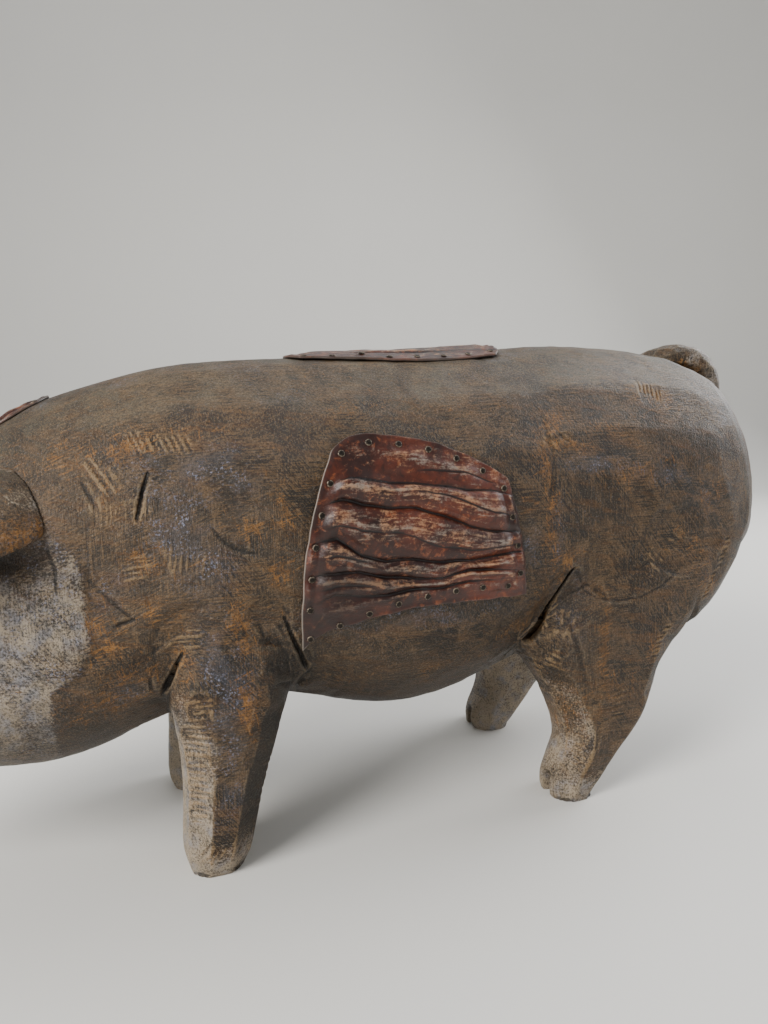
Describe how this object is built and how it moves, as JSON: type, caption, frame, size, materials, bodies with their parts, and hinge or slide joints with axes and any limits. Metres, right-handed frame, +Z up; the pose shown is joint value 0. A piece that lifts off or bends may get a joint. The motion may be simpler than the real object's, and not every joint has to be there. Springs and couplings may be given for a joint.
{
  "type": "carved wooden pig figure",
  "caption": "Standing pig figure carved from joined blocks of wood, with wrinkled leather patches tacked to its flanks, back and crown.",
  "frame": {"origin": "on the floor, under the middle of the figure's overall length and on its middle plane", "axes": "+X from snout to tail, +Y to the pig's right, +Z up"},
  "size_m": [0.7401, 0.2106, 0.3521],
  "materials": {
    "carved_wood": "stained and rubbed, satin",
    "dowel_wood": "bare, matt",
    "leather": "waxed and worn, satin",
    "tack_metal": "darkened, satin"
  },
  "bodies": {
    "root": {"trunk": "carved_wood", "head": "carved_wood", "front_left_leg": "carved_wood", "front_right_leg": "carved_wood", "hind_left_leg": "carved_wood", "hind_right_leg": "carved_wood", "left_ear": "carved_wood", "right_ear": "carved_wood", "tail": "carved_wood", "neck_dowels": "dowel_wood", "front_left_dowels": "dowel_wood", "front_right_dowels": "dowel_wood", "hind_left_dowels": "dowel_wood", "hind_right_dowels": "dowel_wood", "left_ear_dowel": "dowel_wood", "right_ear_dowel": "dowel_wood", "tail_dowel": "dowel_wood", "left_flank_patch": "leather", "right_flank_patch": "leather", "back_patch": "leather", "crown_patch": "leather", "left_flank_tacks": "tack_metal", "right_flank_tacks": "tack_metal", "back_tacks": "tack_metal", "crown_tacks": "tack_metal"}
  },
  "joints": []
}
